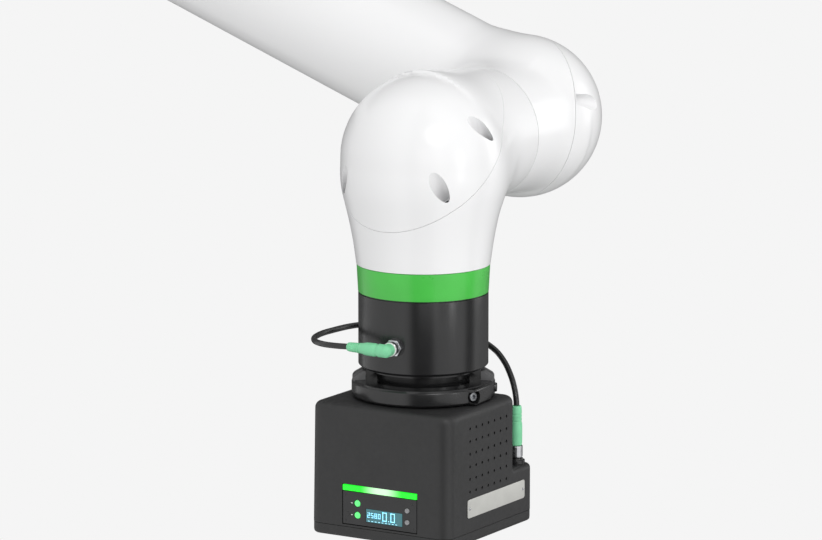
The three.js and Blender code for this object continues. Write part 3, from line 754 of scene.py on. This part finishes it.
def make_base():
    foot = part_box("base_casting")
    half = foot[1].y

    def distance(points):
        x, y, z = (points[..., i] for i in range(3))
        plan = rounded_plan(x, y, half, half, 22 * MM)
        slab = rounded_stack(plan, z, -0.02, 14 * MM, 2.5 * MM)
        drum = np.hypot(x, y) - np.interp(z, [0.014, 0.03], [84 * MM, 80 * MM])
        drum = np.maximum(drum, z - BASE_TOP - 0.01)
        bay = rounded_plan(x + 74 * MM, y, 34 * MM, 46 * MM, 6 * MM)
        bay = rounded_stack(bay, z, -0.02, 98 * MM, 4 * MM)
        return lowest(lowest(slab, drum, 8 * MM), bay, 6 * MM)

    step = 2.8 * MM
    low = foot[0] - Vector((4 * step,) * 3) - Z * 12 * MM
    high = foot[1] + Vector((4 * step,) * 3) + Z * 6 * MM
    mesh = skin_mesh(distance, low, high, step)
    mesh = slice_mesh(mesh, Vector((0, 0, 0.0001)), -Z)
    mesh = slice_mesh(mesh, Vector((0, 0, BASE_TOP)), Z)
    mesh = carve(mesh, block_mesh((-0.2, -0.040, 0.020), (-0.0995, 0.040, 0.092), 2 * MM))
    bolts = []
    for sx in (-1, 1):
        for sy in (-1, 1):
            place = Vector((sx * FOOT_HOLES, sy * FOOT_HOLES, 0))
            seat = turned_mesh(mm((0, 0), (4.5, 0), (4.5, 16.5), (9.5, 16.5), (9.5, 60), (0, 60)),
                               Z, place - Z * 5 * MM, 48, 0)
            mesh = carve(mesh, seat)
            bolts.append(socket_screw(place + Z * 11.6 * MM, Z, 7.2 * MM, 7 * MM))
    add_piece("base_skin", mesh, WHITE, "base", "base_casting", smooth=32)
    add_piece("base_bolts", join_meshes(bolts), BRIGHT, "base", smooth=30)
    panel = block_mesh((BAY_FACE, -0.0394, 0.0206), (-0.1028, 0.0394, 0.0914), 0.8 * MM)
    corners = [socket_screw(Vector((BAY_FACE, y, z)), -X, 2.4 * MM, 1.8 * MM)
               for y in (-0.034, 0.034) for z in (0.026, 0.086)]
    add_piece("connector_panel_plate", panel, CHARCOAL, "base", "connector_panel",
              slot="dark_metal")
    add_piece("connector_panel_screws", join_meshes(corners), BRIGHT, "base", smooth=30)
    for node, radius, pins in (("power_inlet", 15, 6), ("signal_connector", 12, 8)):
        centre = inner_end(node)
        ring = [(0, 0), (radius, 0), (radius, 4.2), (radius - 0.5, 4.6), (radius - 0.5, 5.6),
                (radius, 6), (radius, 11), (radius - 0.6, 11.8), (radius - 2.6, 11.8),
                (radius - 2.6, 3), (0, 3)]
        add_piece(node + "_shell", turned_mesh(mm(*ring), -X, centre, 64, 0.25 * MM), DARK, "base",
                  node)
        contacts = []
        for i in range(pins):
            turn = 2 * math.pi * i / pins
            out = Y * math.cos(turn) + Z * math.sin(turn)
            place = centre + out * (radius - 6) * MM - X * 3 * MM
            pin = mm((0, 0), (1, 0), (1, 6), (0.5, 6.8), (0, 6.8))
            contacts.append(turned_mesh(pin, -X, place, 16, 0.1 * MM))
        add_piece(node + "_pins", join_meshes(contacts), BRIGHT, "base", smooth=30)
    centre = inner_end("earth_stud")
    stud = turned_mesh(mm((0, 0), (3, 0), (3, 13.2), (2.3, 14), (0, 14)), -X, centre, 32, 0.1 * MM)
    nut = turned_mesh(mm((0, 1), (5.4, 1), (5.4, 6), (0, 6)), -X, centre, 6, 0.3 * MM)
    add_piece("earth_stud_and_nut", join_meshes([stud, nut]), BRIGHT, "base", "earth_stud",
              smooth=25)


def make_arm():
    down = (TURRET.z - BASE_TOP) / MM - 0.6
    housing(TURRET, 79, -Z, [(0, 79), (down, 79)], -Y, [(0, 79), (81.7, 77)],
            Vector((0, 1, 1)), -4, "turret", "turret_housing", "turret_cap")
    housing(SHOULDER, 66, UPPER_AXIS, [(0, 66), (60, 64), (110, 60)], Y,
            [(0, 66), (36, 69), (67.7, 77)], -UPPER_AXIS - Y, -5, "upper_arm",
            "shoulder_housing", "shoulder_cap")
    length = (UPPER_ELBOW - SHOULDER).length / MM
    tube = [(0, 110.3), (60, 110.3), (52, length - 95.3), (0, length - 95.3)]
    add_piece("upper_arm_skin", turned_mesh(mm(*tube), UPPER_AXIS, SHOULDER), WHITE, "upper_arm",
              "upper_arm_tube")
    housing(UPPER_ELBOW, 64, -UPPER_AXIS, [(0, 64), (50, 58), (95, 52)], Y,
            [(0, 63), (66, 62)], UPPER_AXIS - Y, -5, "upper_arm", "upper_elbow_housing",
            "upper_elbow_cap")
    housing(ELBOW, 64, FOREARM_AXIS, [(0, 64), (50, 57), (92, 50)], -Y,
            [(0, 63), (83.4, 62)], Y - FOREARM_AXIS, -5, "elbow", "elbow_housing", "elbow_cap")
    reach = (KNUCKLE - ELBOW).length / MM
    tube = [(0, 92.6), (50, 92.6), (46.5, 132), (46.5, reach - 69.4), (0, reach - 69.4)]
    add_piece("forearm_skin", turned_mesh(mm(*tube), FOREARM_AXIS, ELBOW, soft=0), WHITE,
              "forearm", "forearm_tube")
    lean = math.radians(28)
    housing(KNUCKLE, 57, -FOREARM_AXIS, [(0, 55), (35, 51), (60, 46.5), (69.4, 46.5)], -Y,
            [(0, 51), (30, 47), (62.7, 45)], FOREARM_AXIS * math.sin(lean) + Y * math.cos(lean),
            4, "forearm", "forearm_knuckle", "knuckle_cap", 7, KNUCKLE_POCKETS)
    lean = math.radians(49)
    housing(WRIST, 56, -Z, [(0, 55.5), (20, 56.2), (28, 55.4), (36, 53.6), (46, 51.2),
                            (61, 48.1), (79, 45.5)], Y,
            [(0, 52), (40, 47.5), (76.7, 45)], Vector((0, -math.cos(lean), math.sin(lean))),
            -5.5, "wrist", "wrist_housing", "wrist_cap", 6.5)
    band = mm((40, 79.35), (45.3, 79.35), (44.3, 98.1), (40, 98.1), (40, 79.35))
    add_piece("accent_ring_band", turned_mesh(band, -Z, WRIST, 160, 0.3 * MM), GREEN, "wrist",
              "accent_ring")


# ------------------------------------------------------------------ flange and adapter
def make_collar():
    profile = mm((40, 98.9), (44.2, 98.9), (44.2, 147.8), (42.4, 149.6), (20, 149.4), (20, 145),
                 (40, 145), (40, 98.9))
    collar = turned_mesh(profile, -Z, WRIST, 160, 0.4 * MM)
    add_piece("flange_collar_sleeve", collar, DARK, "tool", "flange_collar")
    seal = mm((30, 98.2), (43.2, 98.2), (43.2, 99.2), (30, 99.2), (30, 98.2))
    add_piece("wrist_seal", turned_mesh(seal, -Z, WRIST, 96, 0.1 * MM), JACKET, "wrist")
    flange = mm((10, 149.7), (36, 149.7), (36, 152.4), (31.5, 153), (31.5, 160), (10, 160),
                (10, 149.7))
    add_piece("tool_flange_disc", turned_mesh(flange, -Z, WRIST, 128, 0.3 * MM), DARK, "tool",
              "tool_flange")


LUG_HALF_WIDTH = 5.5  # degrees
ADAPTER_MIDDLE = WRIST - Z * 164.4 * MM


def level_way(degrees):
    """A level direction, so many degrees round from +X."""
    turn = math.radians(degrees)
    return Vector((math.cos(turn), math.sin(turn), 0))


def make_adapter():
    profile = mm((0, 160.4), (34, 160.4), (36.4, 158.4), (47, 158.4), (48.8, 160.2),
                 (48.8, 168.4), (47.8, 169.6), (0, 169.6))
    plate = turned_mesh(profile, -Z, WRIST, 160, 0.5 * MM)
    screw_way = level_way(-15.5)
    jaw = block_mesh(spot(38, -19.5, -169.7), spot(49.8, 5, -158.9), 1.2 * MM,
                     Matrix.Rotation(math.radians(4), 3, "Z"), WRIST)
    plate = carve(plate, jaw, "UNION")
    plate = carve(plate, rod(4.4 * MM, 14 * MM, screw_way,
                             ADAPTER_MIDDLE + screw_way * 44.8 * MM, 48))
    add_piece("adapter_ring", plate, DARK, "tool", "adapter_plate")
    head = socket_screw(ADAPTER_MIDDLE + screw_way * 45.6 * MM, screw_way, 3.1 * MM, 4.2 * MM)
    add_piece("clamp_screw_head", head, GEAR, "tool", "clamp_screw", smooth=30, slot="bright_metal")
    lugs = []
    wedge = mm((40, 159.6), (48.3, 159.6), (48.3, 156.4), (41.6, 152.3), (40, 152.3), (40, 159.6))
    for angle in (24, 38, 204, 218):
        lug = turned_mesh(wedge, -Z, WRIST, 160, 0.5 * MM)
        for side in (-1, 1):
            lug = slice_mesh(lug, WRIST, level_way(angle + side * (LUG_HALF_WIDTH + 90)))
        lugs.append(lug)
    add_piece("adapter_lugs", join_meshes(lugs), LUG, "tool", slot="dark_metal")
    pin = mm((0, 40), (3.3, 40), (3.3, 48.9), (2.9, 50.2), (0, 50.2))
    pin = turned_mesh(pin, level_way(27), ADAPTER_MIDDLE, 48, 0.4 * MM)
    add_piece("adapter_lock_pin", pin, DARK, "tool")


# ------------------------------------------------------------------ gripper
HALF_X, FRONT, BACK, LEDGE_BACK = 54.5, -57.5, 33.7, 57.6
DRAFT = 1.6  # how much the left side leans out between the top and the bottom
TOP, LEDGE_TOP, SPLIT, BOTTOM = -170.4, -222, -254, -261.9
CORNER = 9
VENT_COLUMNS, VENT_ROWS = 7, 6
VENT_PITCH_Y, VENT_PITCH_Z = 7.98, -8.68
VENT_FIRST = (-28.8, -182.8)


def outline(points, back):
    """Distance to the gripper's rounded plan, from its front to the back given."""
    x, y = points[..., 0] / MM, points[..., 1] / MM
    x = np.where(x < 0, x + DRAFT * (TOP - points[..., 2] / MM) / (TOP - BOTTOM), x)
    half_y, middle = (back - FRONT) / 2, (back + FRONT) / 2
    return rounded_plan(x, y - middle, HALF_X, half_y, CORNER) * MM


def make_case():
    """The case with its vents and the panel's recess, and the bottom cover with its feet."""
    def distance(points):
        p = points - np.array(WRIST)
        z = p[..., 2]
        main = rounded_stack(outline(p, BACK), z, (BOTTOM - 30) * MM, TOP * MM, 5 * MM)
        ledge = rounded_stack(outline(p, LEDGE_BACK), z, (BOTTOM - 30) * MM, LEDGE_TOP * MM,
                              3 * MM)
        inward = np.clip((HALF_X - 3 - np.abs(p[..., 0]) / MM) / 5, 0, 1)
        behind = np.clip((p[..., 1] / MM - BACK + 4) / 4, 0, 1)
        return lowest(main, ledge, 3 * MM * inward * behind)

    step = 1.7 * MM
    low = spot(-HALF_X, FRONT, SPLIT - 8) - Vector((3 * step,) * 3)
    high = spot(HALF_X, LEDGE_BACK, TOP) + Vector((3 * step,) * 3)
    mesh = skin_mesh(distance, low, high, step)
    mesh = slice_mesh(mesh, spot(0, 0, SPLIT), -Z)
    mesh = carve(mesh, block_mesh(spot(-29.1, FRONT - 5, -252.6), spot(30.4, FRONT + 2.4, -224.7),
                                  0.3 * MM))
    holes = []
    for c in range(VENT_COLUMNS):
        for r in range(VENT_ROWS):
            y, z = VENT_FIRST[0] + c * VENT_PITCH_Y, VENT_FIRST[1] + r * VENT_PITCH_Z
            holes.append(rod(1.05 * MM, 8 * MM, X, spot(HALF_X - 4, y, z), 20))
    mesh = carve(mesh, join_meshes(holes))
    add_piece("gripper_case", mesh, CHARCOAL, "tool", "gripper_shell", smooth=28)

    def cover_distance(points):
        p = points - np.array(WRIST)
        return rounded_stack(outline(p, LEDGE_BACK) + 0.15 * MM, p[..., 2], BOTTOM * MM,
                             (SPLIT + 20) * MM, 2.2 * MM)

    low = spot(-HALF_X, FRONT, BOTTOM) - Vector((3 * step,) * 3)
    high = spot(HALF_X, LEDGE_BACK, SPLIT + 8) + Vector((3 * step,) * 3)
    cover = skin_mesh(cover_distance, low, high, step)
    cover = slice_mesh(cover, spot(0, 0, SPLIT - 0.35), Z)
    cover = carve(cover, rod(12.4 * MM, 20 * MM, Z, spot(0, 0, BOTTOM - 5), 48))
    feet = []
    for sx in (-1, 1):
        for y in (FRONT + 12, LEDGE_BACK - 12):
            place = spot(sx * (HALF_X - 12), y, BOTTOM)
            cover = carve(cover, rod(4 * MM, 5 * MM, Z, place - Z * 2.2 * MM, 32))
            feet.append(socket_screw(place + Z * 2.7 * MM, -Z, 3 * MM, 2.2 * MM))
    add_piece("gripper_bottom", cover, CHARCOAL, "tool", "bottom_cover", smooth=28)
    add_piece("bottom_screws", join_meshes(feet), BRIGHT, "tool", smooth=30)


def make_plate():
    """The blank rating plate on the gripper's side, with a rivet at each end."""
    plate = block_mesh(spot(HALF_X + 0.05, -32.4, -244), spot(HALF_X + 0.55, 42.9, -231.3),
                       0.15 * MM, corner=1.8 * MM)
    add_piece("rating_plate_film", plate, LABEL, "tool", "rating_plate", slot="label")
    rivets = [turned_mesh(mm((0, 0), (1.1, 0), (0.9, 0.5), (0, 0.7)), X,
                          spot(HALF_X + 0.5, y, -237.6), 24, 0.1 * MM) for y in (-30, 40.5)]
    add_piece("rating_plate_rivets", join_meshes(rivets), BRIGHT, "tool")


SEGMENTS = {  # a seven-part figure's strokes, lit for each numeral used
    "0": "abcdef", "2": "abged", "5": "afgcd", "6": "afgcde", "8": "abcdefg",
}
STROKES = {  # ends on a grid one wide and two high
    "a": ((0, 2), (1, 2)), "b": ((1, 2), (1, 1)), "c": ((1, 1), (1, 0)), "d": ((0, 0), (1, 0)),
    "e": ((0, 1), (0, 0)), "f": ((0, 2), (0, 1)), "g": ((0, 1), (1, 1)),
}


def numeral(figure, x, z, width, stroke, face):
    """One numeral of thin raised strokes on the display."""
    parts = []
    for key in SEGMENTS[figure]:
        (x0, z0), (x1, z1) = STROKES[key]
        low = (x + min(x0, x1) * width - stroke / 2, z + min(z0, z1) * width - stroke / 2)
        high = (x + max(x0, x1) * width + stroke / 2, z + max(z0, z1) * width + stroke / 2)
        parts.append(block_mesh(spot(low[0], face - 0.12, low[1]),
                                spot(high[0], face + 0.1, high[1]), 0.04 * MM, segments=1))
    return parts


PANEL_LEFT, PANEL_RIGHT = -28.6, 29.9
SCREEN_LEFT, SCREEN_RIGHT, SCREEN_BOTTOM, SCREEN_TOP = -10.1, 18.4, -249, -240
KEY_X, KEY_ROWS = 22.6, (-237.4, -245.4)
LAMP_X, LAMP_ROWS = -17.1, (-237.2, -245.4)


def make_panel():
    body = block_mesh(spot(PANEL_LEFT, FRONT + 0.1, -252.1),
                      spot(PANEL_RIGHT, FRONT + 2, -229.4), 0.3 * MM)
    rim = 0.3
    window = block_mesh(spot(SCREEN_LEFT - rim, FRONT - 3, SCREEN_BOTTOM - rim),
                        spot(SCREEN_RIGHT + rim, FRONT + 0.5, SCREEN_TOP + rim), 0.2 * MM)
    body = carve(body, window)
    for x, radius, rows in ((KEY_X, 2.0, KEY_ROWS), (LAMP_X, 2.6, LAMP_ROWS)):
        for z in rows:
            body = carve(body, rod(radius * MM, 9 * MM, Y, spot(x, FRONT - 4, z), 40))
    add_piece("control_panel_plate", body, PANEL, "tool", "control_panel", smooth=30)
    face = FRONT + 0.15
    glass = block_mesh(spot(SCREEN_LEFT, face, SCREEN_BOTTOM),
                       spot(SCREEN_RIGHT, FRONT + 0.6, SCREEN_TOP), 0.15 * MM)
    add_piece("display_window", glass, SCREEN, "tool", "display", slot="display_window")
    strokes = []
    for x in (3.2, 9.6):
        strokes += numeral("0", x, -246.7, 2.8, 0.6, face)
    strokes.append(block_mesh(spot(7.5, face - 0.12, -247.0), spot(8.2, face + 0.1, -246.3),
                              0.05 * MM, segments=1))
    for i, figure in enumerate("2580"):
        strokes += numeral(figure, -8.8 + 2.8 * i, -245.6, 1.5, 0.42, face)
    for i in range(9):
        x = -8.6 + 2.7 * i
        strokes.append(block_mesh(spot(x, face - 0.1, -248.4), spot(x + 1.5, face + 0.1, -248.0),
                                  0.03 * MM, segments=1))
    add_piece("display_figures", join_meshes(strokes), DIGITS, "tool", slot="display_window")
    bar = block_mesh(spot(PANEL_LEFT, FRONT - 0.25, -229.0),
                     spot(PANEL_RIGHT, FRONT + 2, -225.1), 0.5 * MM)
    add_piece("status_light_bar", bar, STATUS, "tool", "status_bar", slot="lamp_lens")
    dome = mm((0, 0), (1.2, 0.05), (2.1, 0.5), (2.35, 1.1), (2.35, 2), (0, 2))
    for row, z in zip(("upper", "lower"), LAMP_ROWS):
        lens = turned_mesh(dome, Y, spot(LAMP_X, FRONT - 0.4, z), 48, 0.15 * MM)
        add_piece(f"lamp_{row}_lens", lens, LAMP, "tool", f"lamp_{row}", slot="lamp_lens")
    cap = mm((0, 0.25), (0.9, 0.1), (1.4, 0), (1.7, 0.3), (1.7, 2.2), (0, 2.2))
    for row, z in zip(("upper", "lower"), KEY_ROWS):
        key = turned_mesh(cap, Y, spot(KEY_X, FRONT - 0.8, z), 48, 0.1 * MM)
        add_piece(f"button_{row}_key", key, BUTTON, f"key_{row}", f"button_{row}")
    holes = ((-26.7, -232, 0.8), (26, -232.6, 0.8), (-26.7, -249.8, 0.8), (27, -249.8, 0.8),
             (-25, -245.2, 1.7))
    dots = [rod(radius * MM, 0.5 * MM, Y, spot(x, FRONT - 0.05, z), 24, 0.1 * MM)
            for x, z, radius in holes]
    add_piece("panel_screws", join_meshes(dots), DARK, "tool", slot="panel_plastic")
    marks = [block_mesh(spot(-22, FRONT - 0.02, z - 0.25), spot(-20.6, FRONT + 0.2, z + 0.25),
                        0.05 * MM, segments=1) for z in LAMP_ROWS]
    add_piece("panel_marks", join_meshes(marks), PALE, "tool", slot="label")


STATUS = status_light(WRIST.x + 2 * MM, 17 * MM)


def make_suction():
    hexagon = turned_mesh(mm((0, 256.4), (10.8, 256.4), (10.8, 266.2), (0, 266.2)), -Z, WRIST, 6,
                          0.5 * MM)
    stem = turned_mesh(mm((3.2, 250), (7.9, 250), (7.9, 268), (3.2, 268), (3.2, 250)), -Z, WRIST,
                       64, 0.2 * MM)
    add_piece("vacuum_port_fitting", join_meshes([hexagon, stem]), BRIGHT, "tool", "vacuum_port",
              smooth=25)
    cup = mm((4, 268.3), (9, 268.3), (9, 272), (16, 276), (12, 280), (17, 284), (20, 292),
             (18.6, 292), (15.2, 284.8), (10.4, 280), (13.6, 276.2), (4, 272.8), (4, 268.3))
    add_piece("bellows_cup_skin", turned_mesh(cup, -Z, WRIST, 96, 1.1 * MM), RUBBER, "tool",
              "bellows_cup")


def paint_inside():
    """Finishes for the CAD nodes that stay as they are, inside the housings."""
    for node, made in frame["nodes"].items():
        if node.endswith("_motor"):
            finish = MOTOR
        elif node.endswith("_gear_unit"):
            finish = GEAR
        elif node == "pump_body":
            finish = PUMP
        elif node == "control_board":
            finish = BOARD
        else:
            finish = WHITE
        made.data.materials.clear()
        made.data.materials.append(finish)


make_base()
make_arm()
make_collar()
make_adapter()
make_case()
make_plate()
make_panel()
make_suction()
paint_inside()


# ------------------------------------------------------------------ floor and light
STUDIO = WRIST.copy()
BANDS = (  # (degrees round the vertical from +X, brightness) of what the gloss mirrors
    (-180, 0.75), (-90, 1.0), (-84, 0.9), (-77, 0.04), (-44, 0.04), (-37, 0.85), (18, 0.95),
    (26, 0.1), (38, 0.1), (46, 0.85), (62, 0.4), (85, 0.2), (105, 0.1), (150, 0.12),
    (168, 0.25), (180, 0.75),
)


def band_nodes(tree, direction):
    """Brightness round the horizon, so that dark and light panels show in the gloss."""
    split = tree.nodes.new("ShaderNodeSeparateXYZ")
    tree.links.new(direction, split.inputs[0])
    turn = tree.nodes.new("ShaderNodeMath")
    turn.operation = "ARCTAN2"
    tree.links.new(split.outputs["Y"], turn.inputs[0])
    tree.links.new(split.outputs["X"], turn.inputs[1])
    spread = tree.nodes.new("ShaderNodeMapRange")
    spread.inputs["From Min"].default_value = -math.pi
    spread.inputs["From Max"].default_value = math.pi
    tree.links.new(turn.outputs[0], spread.inputs["Value"])
    ramp = tree.nodes.new("ShaderNodeValToRGB")
    elements = ramp.color_ramp.elements
    while len(elements) < len(BANDS):
        elements.new(0.5)
    for element, (angle, level) in zip(elements, BANDS):
        element.position = (angle + 180) / 360
    for element, (angle, level) in zip(elements, BANDS):
        element.color = (level, level, level, 1)
    tree.links.new(spread.outputs["Result"], ramp.inputs["Fac"])
    return ramp.outputs["Color"]


def studio_light(tree, direction, kind, level):
    """Plain light of a level, with panels for the gloss and the paper's tone for the eye."""
    def glowing(color):
        made = tree.nodes.new(kind)
        if isinstance(color, float):
            made.inputs["Color"].default_value = (color, color, color, 1)
        else:
            tree.links.new(color, made.inputs["Color"])
        made.inputs["Strength"].default_value = 1
        return made.outputs[0]

    path = tree.nodes.new("ShaderNodeLightPath")
    shown = glowing(level)
    for ray, light in (("Is Glossy Ray", glowing(band_nodes(tree, direction))),
                       ("Is Camera Ray", glowing(PAPER))):
        mix = tree.nodes.new("ShaderNodeMixShader")
        tree.links.new(path.outputs[ray], mix.inputs[0])
        tree.links.new(shown, mix.inputs[1])
        tree.links.new(light, mix.inputs[2])
        shown = mix.outputs[0]
    return shown


PAPER = 0.913


def make_world():
    world = bpy.data.worlds.new("studio")
    world.use_nodes = True
    tree = world.node_tree
    tree.nodes.clear()
    place = tree.nodes.new("ShaderNodeTexCoord")
    shown = studio_light(tree, place.outputs["Generated"], "ShaderNodeBackground", WORLD_LEVEL)
    output = tree.nodes.new("ShaderNodeOutputWorld")
    tree.links.new(shown, output.inputs["Surface"])
    bpy.context.scene.world = world


WORLD_LEVEL = 0.8
FLOOR_HALF = 70
FLOOR_Z = -1.6  # deep enough for the arm to hang past its foot, as it does off a stand


def make_floor():
    corners = [(x * FLOOR_HALF, y * FLOOR_HALF, FLOOR_Z)
               for x, y in ((-1, -1), (1, -1), (1, 1), (-1, 1))]
    mesh = mesh_from(corners, [(0, 1, 2, 3)])
    material = bpy.data.materials.new("studio_floor")
    material.use_nodes = True
    tree = material.node_tree
    tree.nodes.clear()
    place = tree.nodes.new("ShaderNodeNewGeometry")
    offset = tree.nodes.new("ShaderNodeVectorMath")
    offset.operation = "SUBTRACT"
    offset.inputs[1].default_value = STUDIO
    tree.links.new(place.outputs["Position"], offset.inputs[0])
    output = tree.nodes.new("ShaderNodeOutputMaterial")
    shown = studio_light(tree, offset.outputs[0], "ShaderNodeEmission", FLOOR_LEVEL)
    tree.links.new(shown, output.inputs["Surface"])
    mesh.materials.append(material)
    floor = bpy.data.objects.new("floor", mesh)
    bpy.context.scene.collection.objects.link(floor)


FLOOR_LEVEL = 0.72


def softbox(name, azimuth, elevation, distance, size, power):
    """A square or upright lamp that faces the wrist. Azimuth is from +X, in degrees."""
    a, e = math.radians(azimuth), math.radians(elevation)
    way = Vector((math.cos(a) * math.cos(e), math.sin(a) * math.cos(e), math.sin(e)))
    data = bpy.data.lights.new(name, "AREA")
    data.shape = "RECTANGLE"
    data.size, data.size_y = size
    data.energy = power
    lamp = bpy.data.objects.new(name, data)
    lamp.location = WRIST + way * distance
    lamp.rotation_mode = "QUATERNION"
    lamp.rotation_quaternion = (-way).to_track_quat("-Z", "Y")
    bpy.context.scene.collection.objects.link(lamp)


def make_lights():
    softbox("key", -39, 37, 2.6, (0.85, 0.85), 15)
    softbox("front", -50, 6, 3.2, (2.0, 1.6), 8)
    softbox("side", -7, 2, 2.2, (0.35, 0.7), 3)
    softbox("rim", 55, 8, 3.0, (1.2, 1.6), 8)
    softbox("top", 0, 85, 3.0, (2.4, 2.4), 2)


make_world()
make_floor()
make_lights()
bpy.context.scene.view_settings.view_transform = "Standard"
